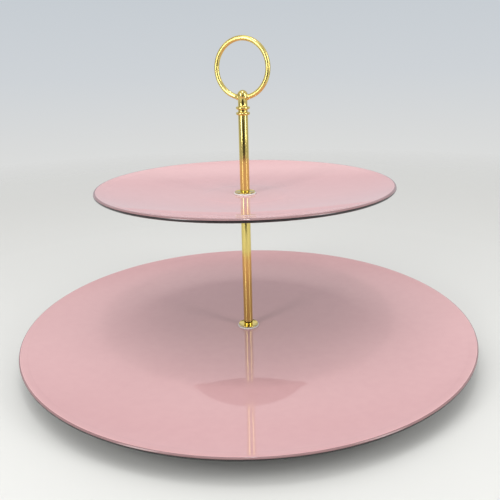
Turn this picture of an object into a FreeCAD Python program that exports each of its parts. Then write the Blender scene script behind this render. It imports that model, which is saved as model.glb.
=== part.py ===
import FreeCAD, Part
import math
import os

# Two-tier cake stand.  Millimetres, +Z up, origin on the post's axis at table level.
# The carrying ring stands in the XZ plane.

# Lower plate: flat well, tangent curved wall, rounded edge, standing on a foot ring.
lower_rim_radius = 165.0
lower_well_radius = 94.0
lower_depth = 8.0             # well to the top of the rim
lower_thickness = 2.6
lower_foot_radius = 88.0      # outside of the foot ring
lower_foot_height = 7.4       # table to the underside of the well

# Upper plate: the same form, smaller and held on the post.
upper_rim_radius = 105.0
upper_well_radius = 30.0
upper_depth = 8.5
upper_thickness = 2.6
upper_foot_radius = 34.0
upper_foot_height = 3.6

foot_width = 4.0              # of each foot ring, where it touches
foot_flare = 1.6              # extra width of each foot ring where it meets the plate
foot_round = 0.8

# Post: two tubes with threaded inserts pressed into both ends.
rod_diameter = 6.8
rod_wall = 0.8
rod_end_round = 0.25
lower_rod_length = 98.1
upper_rod_length = 53.6
insert_length = 9.0
insert_chamfer = 0.4
press_interference = 0.01     # radial, insert in rod

# Threads are plain cylinders at the M4 major diameter.
thread_diameter = 4.0
thread_clearance = 0.05       # radial, stud in insert
thread_engagement = 7.0
stud_chamfer = 0.4

# Washers and gaskets clamp each plate from both sides.
washer_diameter = 14.2
washer_sheet = 0.45
washer_height = 0.9           # flat centre to the lifted rim
washer_flat_radius = 5.0
washer_hole_clearance = 0.2   # radial, round the stud
gasket_diameter = 16.0
gasket_thickness = 1.0
gasket_round = 0.25
gasket_hole_clearance = 0.15
plate_hole_clearance = 0.6

# Base screw: pan head with a cross recess.
screw_head_diameter = 8.0
screw_head_height = 2.4
screw_head_round = 1.1
recess_span = 4.4
recess_width = 1.0
recess_depth = 1.3

# Finial: ball, neck and two beads.
ball_diameter = 7.3
ball_height = 13.0            # rod's top end to the ball's centre
neck_diameter = 6.5
bead_diameter = 9.7
bead_width = 2.1
bead_gap = 1.6
groove_diameter = 6.7

# Carrying ring: a wire circle through the ball.
ring_outer_diameter = 41.4
ring_wire_diameter = 3.4
ring_below_ball_centre = 1.4  # wire's lowest centreline point under the ball's centre
braze_gap = 0.05

same_place = 1e-6             # two lengths this close are the same

# Heights of the stack, from the table up.
lower_well_z = lower_foot_height + lower_thickness
lower_rod_z = lower_well_z + gasket_thickness + washer_sheet
upper_washer_z = lower_rod_z + lower_rod_length
upper_under_z = upper_washer_z + washer_sheet + gasket_thickness
upper_well_z = upper_under_z + upper_thickness
upper_rod_z = upper_well_z + gasket_thickness + washer_sheet
finial_z = upper_rod_z + upper_rod_length
ball_z = finial_z + ball_height
ring_centre_radius = (ring_outer_diameter - ring_wire_diameter) / 2
ring_z = ball_z - ring_below_ball_centre + ring_centre_radius
screw_seat_z = lower_foot_height - gasket_thickness - washer_sheet

# Radii that follow from fits.
rod_radius = rod_diameter / 2
rod_bore_radius = rod_radius - rod_wall
thread_radius = thread_diameter / 2
stud_radius = thread_radius - thread_clearance
plate_hole_radius = thread_radius + plate_hole_clearance

ORIGIN = FreeCAD.Vector(0, 0, 0)
UP = FreeCAD.Vector(0, 0, 1)
ALONG_Y = FreeCAD.Vector(0, 1, 0)


def point(radius, height):
    return FreeCAD.Vector(radius, 0, height)


def on_circle(centre_radius, centre_height, radius, degrees):
    turn = math.radians(degrees)
    return point(centre_radius + radius * math.cos(turn), centre_height + radius * math.sin(turn))


def lathe(start, steps):
    """Turn a closed outline about Z.  A step is (end,) for a line or (middle, end) for an arc."""
    edges = []
    here = start
    for step in steps:
        end = step[-1]
        if len(step) == 2:
            edges.append(Part.Arc(here, step[0], end).toShape())
        else:
            edges.append(Part.LineSegment(here, end).toShape())
        here = end
    face = Part.Face(Part.Wire(edges))
    return Part.Solid(face.revolve(ORIGIN, UP, 360).Shells[0])


def tube(outer_radius, inner_radius, bottom, height):
    outer = Part.makeCylinder(outer_radius, height, point(0, bottom))
    return outer.cut(Part.makeCylinder(inner_radius, height, point(0, bottom)))


def circles_at(shape, radius, heights):
    """Circular edges of one radius that lie at the given heights."""
    found = []
    for edge in shape.Edges:
        curve = edge.Curve
        if not isinstance(curve, Part.Circle) or abs(curve.Radius - radius) > same_place:
            continue
        if any(abs(curve.Center.z - height) < same_place for height in heights):
            found.append(edge)
    return found


def plate(rim_radius, well_radius, depth, thickness, well_z, foot_radius, foot_height):
    half = thickness / 2
    run = rim_radius - half - well_radius
    slope = 2 * math.degrees(math.atan(depth / run))
    middle = run / math.sin(math.radians(slope))
    top = middle - half
    under = middle + half
    arc_z = well_z + top
    under_z = well_z - thickness

    def wall(radius, degrees):
        return on_circle(well_radius, arc_z, radius, degrees - 90)

    edge = wall(middle, slope)
    nose = on_circle(edge.x, edge.z, half, slope)
    body = lathe(
        point(plate_hole_radius, well_z),
        [
            (point(well_radius, well_z),),
            (wall(top, slope / 2), wall(top, slope)),
            (nose, wall(under, slope)),
            (wall(under, slope / 2), point(well_radius, under_z)),
            (point(plate_hole_radius, under_z),),
            (point(plate_hole_radius, well_z),),
        ],
    )
    foot_z = under_z - foot_height
    root_z = under_z + half
    foot_inner = foot_radius - foot_width
    foot = lathe(
        point(foot_inner, foot_z),
        [
            (point(foot_radius, foot_z),),
            (point(foot_radius + foot_flare, under_z),),
            (point(foot_radius + foot_flare, root_z),),
            (point(foot_inner - foot_flare, root_z),),
            (point(foot_inner - foot_flare, under_z),),
            (point(foot_inner, foot_z),),
        ],
    )
    touching = circles_at(foot, foot_radius, [foot_z]) + circles_at(foot, foot_inner, [foot_z])
    foot = foot.makeFillet(foot_round, touching)
    return body.fuse(foot).removeSplitter()


def cup_washer(seat_z, upward):
    """Pressed sheet washer: flat centre, rim curling away from the gasket it sits on."""
    way = 1 if upward else -1
    hole = thread_radius + washer_hole_clearance
    rim = washer_diameter / 2
    lift = washer_height - washer_sheet
    reach = rim - washer_flat_radius

    def at(radius, height):
        return point(radius, seat_z + way * height)

    def curl(share, height):
        return at(washer_flat_radius + share * reach, height + lift * share * share)

    return lathe(
        at(hole, 0),
        [
            (at(washer_flat_radius, 0),),
            (curl(0.5, 0), curl(1.0, 0)),
            (at(rim + washer_sheet / 4, lift + washer_sheet / 2), curl(1.0, washer_sheet)),
            (curl(0.5, washer_sheet), at(washer_flat_radius, washer_sheet)),
            (at(hole, washer_sheet),),
            (at(hole, 0),),
        ],
    )


def gasket(bottom):
    radius = gasket_diameter / 2
    ring = tube(radius, thread_radius + gasket_hole_clearance, bottom, gasket_thickness)
    rims = circles_at(ring, radius, [bottom, bottom + gasket_thickness])
    return ring.makeFillet(gasket_round, rims)


def rod(bottom, length):
    shape = tube(rod_radius, rod_bore_radius, bottom, length)
    return shape.makeFillet(rod_end_round, circles_at(shape, rod_radius, [bottom, bottom + length]))


def insert(end_z, into):
    """Threaded insert flush with a rod's end.  into is 1 where the rod lies above it, else -1."""
    bottom = min(end_z, end_z + into * insert_length)
    outer = rod_bore_radius + press_interference
    shape = tube(outer, thread_radius, bottom, insert_length)
    mouth = circles_at(shape, thread_radius, [end_z])
    wall = outer - thread_radius
    return shape.makeChamfer(min(insert_chamfer, wall / 2), mouth)


def stud(bottom, top):
    shape = Part.makeCylinder(stud_radius, top - bottom, point(0, bottom))
    return shape.makeChamfer(stud_chamfer, circles_at(shape, stud_radius, [bottom, top]))


def base_screw():
    head_radius = screw_head_diameter / 2
    head_z = screw_seat_z - screw_head_height
    head = Part.makeCylinder(head_radius, screw_head_height, point(0, head_z))
    head = head.makeFillet(screw_head_round, circles_at(head, head_radius, [head_z]))
    tip_z = lower_rod_z + thread_engagement
    shank = Part.makeCylinder(stud_radius, tip_z - screw_seat_z, point(0, screw_seat_z))
    shank = shank.makeChamfer(stud_chamfer, circles_at(shank, stud_radius, [tip_z]))
    screw = head.fuse(shank)
    for length, width in ((recess_span, recess_width), (recess_width, recess_span)):
        corner = FreeCAD.Vector(-length / 2, -width / 2, head_z)
        screw = screw.cut(Part.makeBox(length, width, recess_depth, corner))
    return screw.removeSplitter()


def ring_torus(wire_radius):
    return Part.makeTorus(ring_centre_radius, wire_radius, point(0, ring_z), ALONG_Y)


def finial():
    bead = bead_diameter / 2
    groove = groove_diameter / 2
    neck = neck_diameter / 2
    ball = ball_diameter / 2
    lower_bead = finial_z + bead_width
    upper_bead = lower_bead + bead_gap
    beads_top = upper_bead + bead_width
    bead_side = bead - bead_width / 2
    joint_angle = -math.degrees(math.acos(neck / ball))
    side_angle = (joint_angle + 90) / 2
    shape = lathe(
        point(0, finial_z),
        [
            (point(bead_side, finial_z),),
            (point(bead, finial_z + bead_width / 2), point(bead_side, lower_bead)),
            (point(groove, lower_bead),),
            (point(groove, upper_bead),),
            (point(bead_side, upper_bead),),
            (point(bead, upper_bead + bead_width / 2), point(bead_side, beads_top)),
            (point(neck, beads_top),),
            (on_circle(0, ball_z, ball, joint_angle),),
            (on_circle(0, ball_z, ball, side_angle), point(0, ball_z + ball)),
            (point(0, finial_z),),
        ],
    )
    socket = Part.makeCylinder(thread_radius, thread_engagement, point(0, finial_z))
    return shape.cut(socket).cut(ring_torus(ring_wire_diameter / 2 + braze_gap))


lower_rod_top_z = lower_rod_z + lower_rod_length
nodes = {
    "lower_plate": plate(
        lower_rim_radius, lower_well_radius, lower_depth, lower_thickness,
        lower_well_z, lower_foot_radius, lower_foot_height,
    ),
    "lower_plate_bottom_gasket": gasket(lower_foot_height - gasket_thickness),
    "lower_plate_bottom_washer": cup_washer(lower_foot_height - gasket_thickness, False),
    "base_screw": base_screw(),
    "lower_plate_top_gasket": gasket(lower_well_z),
    "lower_plate_top_washer": cup_washer(lower_well_z + gasket_thickness, True),
    "lower_rod": rod(lower_rod_z, lower_rod_length),
    "lower_rod_bottom_insert": insert(lower_rod_z, 1),
    "lower_rod_top_insert": insert(lower_rod_top_z, -1),
    "upper_plate_bottom_washer": cup_washer(upper_under_z - gasket_thickness, False),
    "upper_plate_bottom_gasket": gasket(upper_under_z - gasket_thickness),
    "upper_plate": plate(
        upper_rim_radius, upper_well_radius, upper_depth, upper_thickness,
        upper_well_z, upper_foot_radius, upper_foot_height,
    ),
    "upper_plate_top_gasket": gasket(upper_well_z),
    "upper_plate_top_washer": cup_washer(upper_well_z + gasket_thickness, True),
    "upper_stud": stud(lower_rod_top_z - thread_engagement, upper_rod_z + thread_engagement),
    "upper_rod": rod(upper_rod_z, upper_rod_length),
    "upper_rod_bottom_insert": insert(upper_rod_z, 1),
    "upper_rod_top_insert": insert(finial_z, -1),
    "handle_stud": stud(finial_z - thread_engagement, finial_z + thread_engagement),
    "handle_finial": finial(),
    "handle_ring": ring_torus(ring_wire_diameter / 2),
}

os.makedirs("parts", exist_ok=True)
for name, shape in nodes.items():
    shape.exportStep("parts/" + name + ".step")
    print(name, len(shape.Solids), shape.isValid(), round(shape.Volume, 1), shape.BoundBox)
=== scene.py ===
"""The look of the two-tier cake stand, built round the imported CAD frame. Metres, +Z up."""
import math

import bmesh
import bpy
from mathutils import Matrix, Vector


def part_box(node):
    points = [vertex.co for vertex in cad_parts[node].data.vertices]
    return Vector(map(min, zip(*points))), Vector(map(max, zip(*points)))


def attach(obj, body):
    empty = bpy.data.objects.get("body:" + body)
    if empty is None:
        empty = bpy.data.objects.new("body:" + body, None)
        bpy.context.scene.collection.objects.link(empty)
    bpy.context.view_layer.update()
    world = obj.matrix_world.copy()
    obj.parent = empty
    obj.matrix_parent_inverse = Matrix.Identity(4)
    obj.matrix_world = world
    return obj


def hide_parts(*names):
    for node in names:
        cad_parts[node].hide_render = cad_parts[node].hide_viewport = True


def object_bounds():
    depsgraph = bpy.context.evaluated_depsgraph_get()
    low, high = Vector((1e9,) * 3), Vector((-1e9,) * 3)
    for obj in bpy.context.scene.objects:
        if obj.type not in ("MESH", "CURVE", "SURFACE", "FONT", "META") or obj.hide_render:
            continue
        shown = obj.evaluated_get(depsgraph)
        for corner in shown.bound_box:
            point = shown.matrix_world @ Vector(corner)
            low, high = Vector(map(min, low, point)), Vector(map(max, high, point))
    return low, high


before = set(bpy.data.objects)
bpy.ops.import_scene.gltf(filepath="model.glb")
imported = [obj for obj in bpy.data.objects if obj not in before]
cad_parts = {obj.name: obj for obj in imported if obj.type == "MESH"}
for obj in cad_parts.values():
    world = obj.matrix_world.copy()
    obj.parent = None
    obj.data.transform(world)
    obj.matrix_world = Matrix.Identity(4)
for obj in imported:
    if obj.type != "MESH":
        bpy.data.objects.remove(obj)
cad_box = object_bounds()

MM = 0.001
SAME_PLACE = 1e-7             # metres; points nearer than this are one point
SAME_HEIGHT = 0.005 * MM

# ---------------------------------------------------------------- sizes read from the frame


def bottom(node):
    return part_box(node)[0].z


def top(node):
    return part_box(node)[1].z


def outer_radius(node):
    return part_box(node)[1].x


def radii_at(node, height):
    """Smallest and largest radius of a CAD node's vertices at one height."""
    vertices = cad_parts[node].data.vertices
    found = [v.co.xy.length for v in vertices if abs(v.co.z - height) < SAME_HEIGHT]
    return min(found), max(found)


# ---------------------------------------------------------------- mesh helpers


def line(*points):
    return list(points)


def arc(centre, radius, start, end, steps=12):
    """Points of an arc in the (radius, height) plane, from start to end degrees."""
    points = []
    for i in range(steps + 1):
        turn = math.radians(start + (end - start) * i / steps)
        points.append((centre[0] + radius * math.cos(turn), centre[1] + radius * math.sin(turn)))
    return points


def new_object(name, data):
    thing = bpy.data.objects.new(name, data)
    bpy.context.scene.collection.objects.link(thing)
    return thing


def new_mesh(name, work):
    """Turns a bmesh into a mesh and frees it."""
    mesh = bpy.data.meshes.new(name)
    work.to_mesh(mesh)
    work.free()
    return mesh


def link(name, mesh, materials, body, node):
    """Makes a mesh the visible piece that rides on a body and stands for a CAD node."""
    piece = new_object(name, mesh)
    for material in materials:
        mesh.materials.append(material)
    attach(piece, body)
    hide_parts(node)
    return piece


def finish_mesh(name, work, sharp=30):
    """Turns a bmesh into a smooth-shaded mesh whose edges over sharp degrees stay crisp."""
    bmesh.ops.recalc_face_normals(work, faces=work.faces)
    for face in work.faces:
        face.smooth = True
    for edge in work.edges:
        edge.smooth = len(edge.link_faces) == 2 and edge.calc_face_angle() < math.radians(sharp)
    return new_mesh(name, work)


def lathed(name, runs, segments=160, closed=True):
    """Turns runs of (radius, height) points about Z. A run is (points, material index)."""
    work = bmesh.new()
    outline = []
    for points, index in runs:
        for point in points:
            if outline and math.dist(point, outline[-1][0]) < SAME_PLACE:
                continue
            outline.append((point, index))
    if closed and math.dist(outline[0][0], outline[-1][0]) < SAME_PLACE:
        outline.pop()
    rows = []
    for (radius, height), index in outline:
        if radius < SAME_PLACE:
            rows.append([work.verts.new((0, 0, height))])
            continue
        turns = (2 * math.pi * k / segments for k in range(segments))
        rows.append([work.verts.new((radius * math.cos(t), radius * math.sin(t), height)) for t in turns])
    count = len(rows)
    for i in range(count if closed else count - 1):
        here, there = rows[i], rows[(i + 1) % count]
        index = outline[(i + 1) % count][1]
        for k in range(segments):
            after = (k + 1) % segments
            corners = [here[k % len(here)], here[after % len(here)]]
            corners += [there[after % len(there)], there[k % len(there)]]
            corners = list(dict.fromkeys(corners))
            if len(corners) > 2:
                work.faces.new(corners).material_index = index
    return finish_mesh(name, work)


# ---------------------------------------------------------------- materials


def add_node(tree, kind, values=None, **settings):
    """Adds a node. Each value is a number, a colour or the output of another node."""
    node = tree.nodes.new(kind)
    for setting, value in settings.items():
        setattr(node, setting, value)
    for socket, value in (values or {}).items():
        if isinstance(value, bpy.types.NodeSocket):
            tree.links.new(value, node.inputs[socket])
        else:
            node.inputs[socket].default_value = value
    return node


class Shader:
    """A Principled material and short ways to add the nodes that drive it."""

    def __init__(self, name, **values):
        self.material = bpy.data.materials.new(name)
        self.material.use_nodes = True
        self.tree = self.material.node_tree
        self.surface = self.tree.nodes["Principled BSDF"]
        for socket, value in values.items():
            self.surface.inputs[socket.replace("_", " ")].default_value = value

    def add(self, kind, values=None, **settings):
        return add_node(self.tree, kind, values, **settings)

    def place(self, scale=(1, 1, 1)):
        """Object coordinates, stretched. A low scale along an axis draws marks out along it."""
        coordinates = self.add("ShaderNodeTexCoord").outputs["Object"]
        return self.add("ShaderNodeMapping", {"Vector": coordinates, "Scale": scale}).outputs["Vector"]

    def noise(self, scale, detail=3, place=None, rough=0.5):
        values = {"Scale": scale, "Detail": detail, "Roughness": rough, "Vector": place or self.place()}
        return self.add("ShaderNodeTexNoise", values).outputs["Fac"]

    def span(self, value, low, high, from_low=0.3, from_high=0.7):
        values = {"Value": value, "From Min": from_low, "From Max": from_high, "To Min": low, "To Max": high}
        return self.add("ShaderNodeMapRange", values).outputs["Result"]

    def blend(self, factor, first, second):
        values = {0: factor, 6: first, 7: second}
        return self.add("ShaderNodeMix", values, data_type="RGBA").outputs[2]

    def use(self, socket, value):
        self.tree.links.new(value, self.surface.inputs[socket])

    def bump(self, height, distance, strength=1.0):
        values = {"Height": height, "Distance": distance, "Strength": strength}
        self.use("Normal", self.add("ShaderNodeBump", values).outputs["Normal"])


def plate_top_material(name, depth):
    """Poured pink lacquer: a clear gloss over a colour that is faintly uneven. depth scales the colour;
    below 1 it is painted shade.
    """
    shader = Shader(name, Roughness=0.06, IOR=1.5)
    cloud = shader.noise(9, 4)
    fine = shader.noise(160, 5)
    first, second, third = (
        tuple(channel * depth for channel in colour) + (1,)
        for colour in ((0.655, 0.38, 0.388), (0.68, 0.40, 0.408), (0.625, 0.355, 0.363))
    )
    soft = shader.blend(shader.span(cloud, 0, 1), first, second)
    shader.use("Base Color", shader.blend(shader.span(fine, 0, 0.35, 0.35, 0.75), soft, third))
    shader.use("Roughness", shader.span(shader.noise(60, 5), 0.015, 0.045))
    shader.bump(shader.noise(240, 2), 0.004 * MM, 0.5)
    return shader.material


def plate_under_material():
    """Black enamel under the plates, with fine spray grain."""
    shader = Shader("black_enamel", Roughness=0.2, IOR=1.5)
    shade = shader.span(shader.noise(14, 4), 0, 1)
    shader.use("Base Color", shader.blend(shade, (0.010, 0.008, 0.009, 1), (0.018, 0.014, 0.015, 1)))
    shader.use("Roughness", shader.span(shader.noise(420, 4), 0.14, 0.26))
    shader.bump(shader.noise(900, 3), 0.01 * MM, 0.6)
    return shader.material


def foot_material():
    """The same enamel where the foot ring has rubbed on tables."""
    shader = Shader("worn_foot", Roughness=0.4, IOR=1.5)
    worn = shader.span(shader.noise(70, 6, rough=0.7), 0, 1, 0.42, 0.62)
    shader.use("Base Color", shader.blend(worn, (0.014, 0.011, 0.012, 1), (0.09, 0.075, 0.075, 1)))
    shader.use("Roughness", shader.span(worn, 0.3, 0.62, 0, 1))
    shader.bump(shader.noise(700, 5), 0.02 * MM, 0.6)
    return shader.material


def gold_material(name, marks, roughness=(0.12, 0.18)):
    """Polished gold-coloured plating. marks stretches the polishing lines, low along the stroke."""
    shader = Shader(name, Metallic=1.0)
    lines = shader.noise(1, 4, shader.place(marks))
    tone = shader.span(shader.noise(60, 3), 0, 1)
    shader.use("Base Color", shader.blend(tone, (0.73, 0.585, 0.18, 1), (0.77, 0.63, 0.21, 1)))
    shader.use("Roughness", shader.span(lines, roughness[0], roughness[1], 0.3, 0.7))
    shader.bump(lines, 0.0004 * MM, 0.5)
    return shader.material


def metal_material(name, low, high, roughness, marks):
    """Unplated hardware metal with tumbling marks."""
    shader = Shader(name, Metallic=1.0)
    lines = shader.noise(1, 5, shader.place(marks))
    shader.use("Base Color", shader.blend(shader.span(shader.noise(300, 4), 0, 1), low, high))
    shader.use("Roughness", shader.span(lines, roughness[0], roughness[1]))
    shader.bump(lines, 0.006 * MM, 0.5)
    return shader.material


def clear_material():
    """Soft clear plastic, slightly milky, with moulding haze."""
    shader = Shader("clear_vinyl", IOR=1.45, Alpha=0.85)
    haze = shader.noise(500, 4)
    cream, white = (0.88, 0.84, 0.80, 1), (0.95, 0.93, 0.90, 1)
    shader.use("Base Color", shader.blend(shader.span(haze, 0, 1), cream, white))
    shader.use("Roughness", shader.span(haze, 0.12, 0.25))
    shader.bump(haze, 0.01 * MM, 0.4)
    return shader.material


pink_lacquer = plate_top_material("pink_lacquer", 1.0)
# the pink darkened to 0.42 as painted shade, for the outward face of the plates' rounded edge
painted_shade_pink = plate_top_material("painted_shade_pink", 0.42)
black_enamel = plate_under_material()
worn_foot = foot_material()
gold_drawn = gold_material("gold_drawn", (2600, 2600, 18))
gold_turned = gold_material("gold_turned", (60, 60, 4200))
gold_wire = gold_material("gold_wire", (160, 160, 160), (0.20, 0.27))
clear_vinyl = clear_material()
insert_brass = metal_material(
    "insert_brass", (0.70, 0.48, 0.20, 1), (0.80, 0.58, 0.27, 1), (0.16, 0.3), (900, 900, 5000)
)
zinc_steel = metal_material(
    "zinc_steel", (0.52, 0.53, 0.55, 1), (0.66, 0.67, 0.69, 1), (0.18, 0.34), (1800, 1800, 1800)
)

# ---------------------------------------------------------------- plates

PLATE_SEGMENTS = 288
SHOULDER_IN = 4.9 * MM        # in from the rounded edge, where the lip starts to rise
SHOULDER_WIDTH = 1.6 * MM
LIP_HEIGHT = 0.05 * MM
CREASE_IN = 0.35 * MM         # fine groove between the lip's land and its rounded edge
CREASE_WIDTH = 0.3 * MM
CREASE_DEPTH = 0.05 * MM
COLOUR_EDGE = 5               # degrees round the edge where the pink stops
CROWN_START = 8.0 * MM        # the well bulges a hair between the gasket and the wall
CROWN_HEIGHT = 0.05 * MM
WALL_KINK = 0.002             # slope step where the wall leaves the well
WALL_SWELL = 0.45             # extra curvature of the wall's first part, per metre
FOOT_FLARE = 1.6 * MM         # extra width of a foot ring where it meets the plate
FOOT_ROUND = 0.8 * MM
WALL_STEPS = 60
FLOOR_STEPS = 24
LIP_STEPS = 75                # finer steps near the edge, for the lip and its crease
LIP_STEP = 0.075 * MM
UNDER, FOOT, SHADED_EDGE = 1, 2, 3   # places in the plate's list of materials, after the pink; the third is darker pink painted as shade


def smooth_step(value):
    value = min(max(value, 0.0), 1.0)
    return value * value * (3 - 2 * value)


def lip(distance):
    """How far the top surface stands off the plain dish, by distance in from the edge."""
    rise = smooth_step((SHOULDER_IN - distance) / SHOULDER_WIDTH) - 1
    groove = max(0.0, 1 - abs(distance - CREASE_IN) / CREASE_WIDTH)
    return LIP_HEIGHT * rise - CREASE_DEPTH * smooth_step(groove)


def crown(share):
    """Height of the well over its seat, share of the way from the gasket to the wall."""
    share = max(share, 0.0)
    return CROWN_HEIGHT * 4 * share * (1 - share)


def swell(along, length):
    """How far the wall's top surface stands over a plain arc, by distance along it."""
    return (WALL_KINK * along + WALL_SWELL * along * along) * (1 - along / length) ** 2


def plate(node, well_z, under_z, body, shade_from):
    """A dished plate with a raised lip, rounded edge and foot ring.

    The third argument is where round the edge, in degrees, the pink turns darker, painted shade on the
    edge's outward face.
    """
    thickness = well_z - under_z
    half = thickness / 2
    rim = outer_radius(node)
    hole, well = radii_at(node, well_z)
    foot_z = bottom(node)
    foot_inner, foot_outer = radii_at(node, foot_z)     # edges of the flat, inside its rounded corners
    run = rim - half - well
    depth = top(node) - well_z
    slope = 2 * math.atan(depth / run)
    middle = run / math.sin(slope)
    centre = (well, well_z + middle - half)

    # each step up the wall is its turn round the arc and its distance in from the edge
    wall_length = (middle - half) * slope
    turns = (slope * i / WALL_STEPS for i in range(WALL_STEPS + 1))
    coarse = [(turn, wall_length - (middle - half) * turn) for turn in turns]
    fine = [(slope - d / (middle - half), d) for d in (k * LIP_STEP for k in range(LIP_STEPS, -1, -1))]
    surface = [step for step in coarse if step[1] > fine[0][1]] + fine
    wall = []
    for turn, distance in surface:
        radius = middle - half - lip(distance) - swell(wall_length - distance, wall_length)
        wall.append((centre[0] + radius * math.sin(turn), centre[1] - radius * math.cos(turn)))
    edge = (centre[0] + middle * math.sin(slope), centre[1] - middle * math.cos(slope))
    lean = math.degrees(slope)
    upper_edge = arc(edge, half, 90 + lean, shade_from + lean, 6)
    # painted shade: the outward part of the rounded edge gets the darker pink
    shaded_edge = arc(edge, half, shade_from + lean, COLOUR_EDGE + lean, 14)
    lower_edge = arc(edge, half, COLOUR_EDGE + lean, lean - 90, 8)
    splay = math.degrees(math.atan2(FOOT_FLARE, under_z - foot_z))
    flare = FOOT_ROUND / math.tan(math.radians((90 + splay) / 2)) + FOOT_FLARE
    root = max(foot_outer + flare, well)
    under_end = math.degrees(math.asin((root - well) / (middle + half))) - 90
    under = arc(centre, middle + half, lean - 90, under_end, 40)
    foot_side = arc((foot_outer, foot_z + FOOT_ROUND), FOOT_ROUND, -splay, -90, 8)
    foot_back = arc((foot_inner, foot_z + FOOT_ROUND), FOOT_ROUND, -90, splay - 180, 8)
    if root == well:
        foot_side.insert(0, (foot_outer + flare, under_z))
    seat = min(CROWN_START, well / 2)
    shares = [i / FLOOR_STEPS for i in range(FLOOR_STEPS)]
    floor = [(seat + (well - seat) * share, well_z + crown(share)) for share in shares]
    runs = [
        (line((hole, well_z)), 0),
        (floor, 0),
        (wall, 0),
        (upper_edge, 0),
        (shaded_edge, SHADED_EDGE),
        (lower_edge, UNDER),
        (under, UNDER),
        (foot_side, UNDER),
        (foot_back[:1], FOOT),
        (foot_back[1:], UNDER),
        (line((foot_inner - flare, under_z), (hole, under_z)), UNDER),
    ]
    mesh = lathed(node + "_shell", runs, PLATE_SEGMENTS)
    coats = [pink_lacquer, black_enamel, worn_foot, painted_shade_pink]
    link(node + "_shell", mesh, coats, body, node)


for node, body, shade_from in (("lower_plate", "base", 60), ("upper_plate", "top_plate", 85)):
    plate(node, bottom(node + "_top_gasket"), top(node + "_bottom_gasket"), body, shade_from)

# ---------------------------------------------------------------- washers and gaskets

WASHER_SHEET = 0.45 * MM
WASHER_FLAT = 5.0 * MM
CURL_STEPS = 10
GASKET_BULGE = 0.25 * MM
BULGE_STEPS = 12


def cup_washer(node, body, upward):
    """Pressed sheet washer with a flat centre and a lifted rim."""
    way = 1 if upward else -1
    seat = bottom(node) if upward else top(node)
    height = top(node) - bottom(node)
    hole = radii_at(node, seat)[0]
    reach = outer_radius(node) - WASHER_FLAT - WASHER_SHEET / 4
    lift = height - WASHER_SHEET

    def curl(share, above):
        return (WASHER_FLAT + share * reach, seat + way * (above + lift * share * share))

    shares = [i / CURL_STEPS for i in range(CURL_STEPS)]
    lean = math.degrees(math.atan2(2 * lift, reach))
    middle = curl(1, WASHER_SHEET / 2)
    if upward:
        end = arc(middle, WASHER_SHEET / 2, lean - 90, lean + 90, 8)
    else:
        end = arc(middle, WASHER_SHEET / 2, 90 - lean, -90 - lean, 8)
    runs = [
        (line((hole, seat), (WASHER_FLAT, seat)), 0),
        ([curl(s, 0) for s in shares], 0),
        (end, 0),
        ([curl(s, WASHER_SHEET) for s in reversed(shares)], 0),
        (line((hole, seat + way * WASHER_SHEET)), 0),
    ]
    link(node + "_pressing", lathed(node + "_pressing", runs, 96), [gold_turned], body, node)


def gasket(node, body):
    """Clear disc whose edge bulges a little under the clamp."""
    low, high = bottom(node), top(node)
    rim = outer_radius(node)
    hole = radii_at(node, low)[0]
    half = (high - low) / 2
    side = []
    for i in range(BULGE_STEPS + 1):
        turn = math.radians(-90 + 180 * i / BULGE_STEPS)
        side.append((rim - GASKET_BULGE * (1 - math.cos(turn)), low + half + half * math.sin(turn)))
    runs = [(line((hole, low)), 0), (side, 0), (line((hole, high)), 0)]
    link(node + "_disc", lathed(node + "_disc", runs, 96), [clear_vinyl], body, node)


cup_washer("lower_plate_top_washer", "post", True)
cup_washer("lower_plate_bottom_washer", "base_washer", False)
cup_washer("upper_plate_top_washer", "top_plate", True)
cup_washer("upper_plate_bottom_washer", "post", False)
gasket("lower_plate_top_gasket", "post")
gasket("lower_plate_bottom_gasket", "post")
gasket("upper_plate_top_gasket", "top_plate")
gasket("upper_plate_bottom_gasket", "post")

# ---------------------------------------------------------------- post

ROD_END_ROUND = 0.25 * MM


def rod(node, body):
    """Drawn tube with softly broken end corners."""
    low, high = bottom(node), top(node)
    rim = outer_radius(node)
    bore = radii_at(node, low)[0]
    soft = ROD_END_ROUND
    runs = [
        (line((bore, low)), 0),
        (arc((rim - soft, low + soft), soft, -90, 0, 6), 0),
        (arc((rim - soft, high - soft), soft, 0, 90, 6), 0),
        (line((bore, high)), 0),
    ]
    link(node + "_tube", lathed(node + "_tube", runs, 128), [gold_drawn], body, node)


rod("lower_rod", "post")
rod("upper_rod", "upper_post")
for tube in ("lower_rod", "upper_rod"):
    for end in ("bottom", "top"):
        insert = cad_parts[tube + "_" + end + "_insert"]
        insert.data.materials.clear()
        insert.data.materials.append(insert_brass)

# ---------------------------------------------------------------- threads

THREAD_PITCH = 0.7 * MM
THREAD_DEPTH = 0.38 * MM
THREAD_SEGMENTS = 40
ROWS_PER_TURN = 10
THREAD_TAPER = 0.7 * THREAD_PITCH     # length of each end over which the thread fades in
FLANK_SLOPE = 1.35
ROOT_FLAT = 0.12

SCREW_HEAD_ROUND = 1.1 * MM
SHANK_SUNK = 0.1 * MM         # how far the shank starts inside the head
RECESS_LENGTH = 4.4 * MM
RECESS_WIDTH = 1.0 * MM
RECESS_DEPTH = 1.3 * MM
RECESS_TAPER = 0.72           # size of the cutter's inner end, as a share of its outer end


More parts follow.
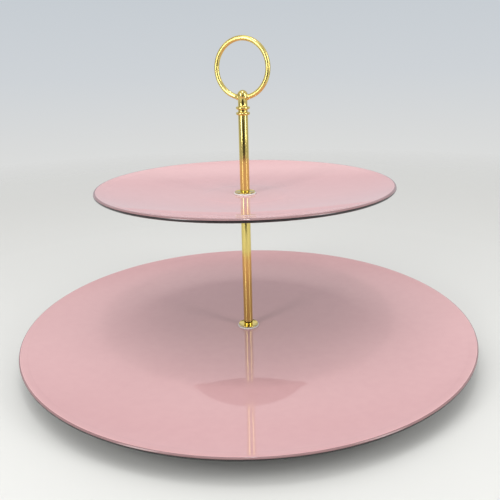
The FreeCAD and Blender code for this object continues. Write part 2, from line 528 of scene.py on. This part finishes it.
def threaded(work, radius, low, high):
    """Adds a right-hand threaded shank to a bmesh, from low to high, with tapered ends."""
    count = round((high - low) / THREAD_PITCH * ROWS_PER_TURN)
    rows = []
    for i in range(count + 1):
        height = low + (high - low) * i / count
        ends = min(height - low, high - height)
        cap = radius - THREAD_DEPTH * (1 - smooth_step(ends / THREAD_TAPER))
        row = []
        for k in range(THREAD_SEGMENTS):
            share = k / THREAD_SEGMENTS
            phase = ((height - low) / THREAD_PITCH - share) % 1
            crest = min(max(FLANK_SLOPE * (1 - 2 * abs(phase - 0.5)) - ROOT_FLAT, 0), 1)
            reach = min(cap, radius - THREAD_DEPTH * (1 - crest))
            turn = 2 * math.pi * share
            row.append(work.verts.new((reach * math.cos(turn), reach * math.sin(turn), height)))
        rows.append(row)
    for here, there in zip(rows, rows[1:]):
        for k in range(THREAD_SEGMENTS):
            after = (k + 1) % THREAD_SEGMENTS
            work.faces.new((here[k], here[after], there[after], there[k]))
    work.faces.new(rows[0])
    work.faces.new(rows[-1])


def stud(node, body):
    work = bmesh.new()
    threaded(work, outer_radius(node), bottom(node), top(node))
    link(node + "_thread", finish_mesh(node + "_thread", work, 75), [zinc_steel], body, node)


def base_screw(node, body):
    """Pan head with a cross recess, and a threaded shank."""
    low, high = bottom(node), top(node)
    seat = top("lower_plate_bottom_washer") - WASHER_SHEET
    rim = outer_radius(node)
    soft = SCREW_HEAD_ROUND
    runs = [
        (line((0, low)), 0),
        (arc((rim - soft, low + soft), soft, -90, 0, 10), 0),
        (line((rim, seat)), 0),
        (line((0, seat)), 0),
    ]
    head_mesh = lathed(node + "_head", runs, 64, closed=False)
    head = link(node + "_body", head_mesh, [zinc_steel], body, node)
    for turn in (0, 90):
        cutter = bmesh.new()
        bmesh.ops.create_cube(cutter, size=2)
        for v in cutter.verts:
            narrow = (RECESS_TAPER if v.co.z > 0 else 1.0) / 2
            across = (v.co.x * RECESS_LENGTH * narrow, v.co.y * RECESS_WIDTH * narrow)
            v.co = Vector((*across, low + v.co.z * RECESS_DEPTH))
        bmesh.ops.rotate(cutter, verts=cutter.verts, matrix=Matrix.Rotation(math.radians(turn), 3, "Z"))
        tool = new_object("recess", new_mesh("recess", cutter))
        cut = head.modifiers.new("recess", "BOOLEAN")
        cut.operation = "DIFFERENCE"
        cut.solver = "EXACT"
        cut.object = tool
        bpy.context.view_layer.update()
        shaped = bpy.data.meshes.new_from_object(head.evaluated_get(bpy.context.evaluated_depsgraph_get()))
        head.modifiers.clear()
        head.data = shaped
        bpy.data.objects.remove(tool)
    work = bmesh.new()
    work.from_mesh(head.data)
    threaded(work, radii_at(node, seat)[0], seat - SHANK_SUNK, high)
    head.data = finish_mesh(node + "_body", work, 60)
    head.data.materials.append(zinc_steel)


stud("upper_stud", "rod_joiner")
stud("handle_stud", "handle_joiner")
base_screw("base_screw", "base_fastener")

# ---------------------------------------------------------------- finial and ring

BEAD_WIDTH = 2.1 * MM
BEAD_GAP = 1.6 * MM
GROOVE_RADIUS = 3.35 * MM
NECK_RADIUS = 3.25 * MM
BALL_RADIUS = 3.65 * MM
SOCKET_DEPTH = 7.0 * MM
CORNER = 0.25 * MM
NECK_COVE = 0.5 * MM

RING_SEGMENTS = 240
WIRE_SEGMENTS = 40
SEAM_ANGLE = 63               # degrees up from +X, where the wire's two ends were joined
SEAM_WIDTH = 0.35 * MM
SEAM_DEPTH = 0.1 * MM
BRAZE_REACH = 1.3 * MM        # how far the braze flows along the wire from the ball
BRAZE_SIZE = 0.44 * MM        # how much thicker the braze makes the wire at the ball


def finial(node, body):
    """Turned stem: two beads with a groove between, a neck and a ball, and a threaded socket below."""
    base = bottom(node)
    ball_z = top(node) - BALL_RADIUS
    bead = outer_radius(node)
    socket = radii_at(node, base)[0]
    half = BEAD_WIDTH / 2
    first, second = base + half, base + BEAD_WIDTH + BEAD_GAP + half
    beads_top = second + half
    meet = math.degrees(math.acos(NECK_RADIUS / BALL_RADIUS))
    runs = [
        (line((0, base + SOCKET_DEPTH), (socket, base + SOCKET_DEPTH), (socket, base)), 0),
        (arc((bead - half, first), half, -90, 90, 14), 0),
        (arc((GROOVE_RADIUS + CORNER, first + half + CORNER), CORNER, -90, -180, 4), 0),
        (arc((GROOVE_RADIUS + CORNER, second - half - CORNER), CORNER, 180, 90, 4), 0),
        (arc((bead - half, second), half, -90, 90, 14), 0),
        (arc((NECK_RADIUS + NECK_COVE, beads_top + NECK_COVE), NECK_COVE, -90, -180, 6), 0),
        (arc((0, ball_z), BALL_RADIUS, -meet, 90, 26)[:-1], 0),
        (line((0, ball_z + BALL_RADIUS)), 0),
    ]
    mesh = lathed(node + "_turning", runs, 96, closed=False)
    link(node + "_turning", mesh, [gold_turned], body, node)
    return ball_z


def carrying_ring(node, body, ball_z):
    """Wire circle in the XZ plane, butt-joined at one place and brazed through the ball."""
    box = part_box(node)
    wire = (box[1].y - box[0].y) / 2
    radius = (top(node) - bottom(node)) / 2 - wire
    centre = (top(node) + bottom(node)) / 2
    work = bmesh.new()
    rows = []
    for i in range(RING_SEGMENTS):
        turn = 2 * math.pi * i / RING_SEGMENTS
        spot = Vector((radius * math.cos(turn), 0, centre + radius * math.sin(turn)))
        off_ball = (spot - Vector((0, 0, ball_z))).length - BALL_RADIUS
        braze = smooth_step(1 - off_ball / BRAZE_REACH) * BRAZE_SIZE if spot.z < centre else 0
        from_seam = radius * (turn - math.radians(SEAM_ANGLE))
        seam = math.exp(-((from_seam / SEAM_WIDTH) ** 2)) * SEAM_DEPTH
        size = wire + braze - seam
        row = []
        for k in range(WIRE_SEGMENTS):
            around = 2 * math.pi * k / WIRE_SEGMENTS
            out = size * math.cos(around)
            offset = Vector((out * math.cos(turn), size * math.sin(around), out * math.sin(turn)))
            row.append(work.verts.new(spot + offset))
        rows.append(row)
    for i, here in enumerate(rows):
        there = rows[(i + 1) % RING_SEGMENTS]
        for k in range(WIRE_SEGMENTS):
            after = (k + 1) % WIRE_SEGMENTS
            work.faces.new((here[k], here[after], there[after], there[k]))
    link(node + "_wire", finish_mesh(node + "_wire", work), [gold_wire], body, node)


carrying_ring("handle_ring", "handle", finial("handle_finial", "handle"))

# ---------------------------------------------------------------- stage

SIDE = math.radians(25.5)     # the camera stands this far round from -Y towards +X
TOWARDS_CAMERA = Vector((math.sin(SIDE), -math.cos(SIDE), 0))


def stage_piece(name, work, material):
    """Something round the object that isn't part of it."""
    mesh = new_mesh(name, work)
    mesh.materials.append(material)
    piece = new_object(name, mesh)
    return piece


def make_floor():
    """Pale disc that fades into the backdrop with distance."""
    radius, fade_start, fade_end = 4, 0.35, 1.1
    work = bmesh.new()
    bmesh.ops.create_circle(work, cap_ends=True, segments=96, radius=radius)
    shader = Shader("floor", Roughness=0.9, Base_Color=(0.71, 0.71, 0.685, 1))
    spot = shader.add("ShaderNodeTexCoord").outputs["Object"]
    away = shader.add("ShaderNodeVectorMath", {0: spot}, operation="LENGTH").outputs["Value"]
    fade = shader.span(away, 0, 1, fade_start, fade_end)
    clear = shader.add("ShaderNodeBsdfTransparent").outputs[0]
    mix = shader.add("ShaderNodeMixShader", {0: fade, 1: shader.surface.outputs[0], 2: clear}).outputs[0]
    shader.tree.links.new(mix, shader.tree.nodes["Material Output"].inputs["Surface"])
    stage_piece("floor", work, shader.material)


def make_card():
    """Dark card under the camera, like a photographer's body. The camera doesn't see it.

    The gold and the plates mirror it, and it casts a shadow on the floor.
    """
    away, half_width, height = 0.44, 0.20, 0.19
    across = Vector((math.cos(SIDE), math.sin(SIDE), 0)) * half_width
    foot = TOWARDS_CAMERA * away
    raised = Vector((0, 0, height))
    work = bmesh.new()
    left, right = foot - across, foot + across
    work.faces.new([work.verts.new(corner) for corner in (left, right, right + raised, left + raised)])
    shader = Shader("card", Roughness=0.9, Base_Color=(0.03, 0.028, 0.025, 1))
    stage_piece("card", work, shader.material).visible_camera = False


TENT_LEVEL = 2                # strength that multiplies the colours below
BACK_OF_TENT = (              # height of a direction from -1 to 1, and the tent's colour there
    (-1.0, (0.43, 0.43, 0.41)),
    (-0.45, (0.42, 0.42, 0.40)),
    (-0.25, (0.39, 0.39, 0.375)),
    (-0.10, (0.345, 0.35, 0.35)),
    (0.0, (0.31, 0.325, 0.34)),
    (0.12, (0.285, 0.305, 0.325)),
    (0.34, (0.26, 0.27, 0.29)),
    (0.46, (0.50, 0.50, 0.51)),
    (0.54, (0.50, 0.50, 0.51)),
    (0.64, (0.28, 0.28, 0.29)),
    (1.00, (0.32, 0.32, 0.32)),
)
FRONT_OF_TENT = (
    (-1.0, (0.40, 0.40, 0.38)),
    (0.0, (0.20, 0.20, 0.20)),
    (0.3, (0.22, 0.22, 0.22)),
    (0.8, (0.36, 0.36, 0.36)),
)


def make_world():
    """Light tent: bright high at the back, dimmer in front."""
    world = bpy.data.worlds.new("tent")
    bpy.context.scene.world = world
    world.use_nodes = True
    tree = world.node_tree

    def add(kind, values=None, **settings):
        return add_node(tree, kind, values, **settings)

    def ramp(factor, colours):
        node = add("ShaderNodeValToRGB", {0: factor})
        stops = node.color_ramp.elements
        while len(stops) < len(colours):
            stops.new(1.0)
        for stop, (level, colour) in zip(stops, colours):
            stop.position = (level + 1) / 2
            stop.color = (*colour, 1)
        return node.outputs[0]

    def fade(value, start, end):
        values = {"Value": value, "From Min": start, "From Max": end}
        return add("ShaderNodeMapRange", values, interpolation_type="SMOOTHSTEP").outputs[0]

    direction = add("ShaderNodeTexCoord").outputs["Generated"]
    height = add("ShaderNodeSeparateXYZ", {0: direction}).outputs["Z"]
    level = add("ShaderNodeMapRange", {"Value": height, "From Min": -1}).outputs[0]
    flat = add("ShaderNodeVectorMath", {0: direction, 1: (1, 1, 0)}, operation="MULTIPLY").outputs[0]
    unit = add("ShaderNodeVectorMath", {0: flat}, operation="NORMALIZE").outputs[0]
    pair = {0: unit, 1: TOWARDS_CAMERA}
    facing = add("ShaderNodeVectorMath", pair, operation="DOT_PRODUCT").outputs["Value"]
    sides = {0: fade(facing, -0.7, 0.2), 6: ramp(level, BACK_OF_TENT), 7: ramp(level, FRONT_OF_TENT)}
    tent = add("ShaderNodeMix", sides, data_type="RGBA").outputs[2]
    background = tree.nodes["Background"]
    tree.links.new(tent, background.inputs["Color"])
    background.inputs["Strength"].default_value = TENT_LEVEL


def softbox(name, turn, rise, distance, size, power, mirrored=True):
    """Area light aimed at the middle of the stand, from turn degrees round the camera's side and rise up."""
    around = SIDE + math.radians(turn)
    lift = math.radians(rise)
    middle = (cad_box[0] + cad_box[1]) / 2
    way = Vector((math.sin(around) * math.cos(lift), -math.cos(around) * math.cos(lift), math.sin(lift)))
    data = bpy.data.lights.new(name, "AREA")
    data.shape = "RECTANGLE"
    data.size, data.size_y = size
    data.energy = power
    lamp = new_object(name, data)
    lamp.location = middle + way * distance
    lamp.rotation_euler = way.to_track_quat("Z", "Y").to_euler()
    lamp.visible_camera = False
    lamp.visible_glossy = mirrored


make_floor()
make_card()
make_world()
softbox("softbox_above", -30, 84, 1.2, (0.8, 0.8), 2.0)
softbox("softbox_front", -12, 62, 0.7, (0.6, 0.4), 1.4, mirrored=False)
softbox("window_left", -46, 20, 0.9, (0.22, 0.7), 3.2)
softbox("window_right", 55, 20, 0.9, (0.22, 0.7), 2.7)
softbox("ceiling_lamp", 0, 75, 1.0, (0.07, 0.07), 0.9)

# ---------------------------------------------------------------- camera


def make_camera():
    """A fixed lens at the photograph's viewing angle: looking down, with a slight roll."""
    distance, height = 0.3878, 0.1957
    pan, tilt, roll = 0.0066, 0.3110, -0.0239
    data = bpy.data.cameras.new("camera")
    data.sensor_width = 36
    data.lens = 39.53
    data.clip_start = 0.01
    camera = new_object("camera", data)
    forward = Vector((math.sin(pan) * math.cos(tilt), math.cos(pan) * math.cos(tilt), -math.sin(tilt)))
    right = Vector((math.cos(pan), -math.sin(pan), 0))
    above = right.cross(forward)
    across = right * math.cos(roll) + above * math.sin(roll)
    upright = above * math.cos(roll) - right * math.sin(roll)
    facing = Matrix((across, upright, -forward)).transposed().to_4x4()
    camera.matrix_world = Matrix.Rotation(SIDE, 4, "Z") @ Matrix.Translation((0, -distance, height)) @ facing
    bpy.context.scene.camera = camera


make_camera()
bpy.context.scene.view_settings.view_transform = "Standard"
bpy.context.scene.cycles.use_denoising = True
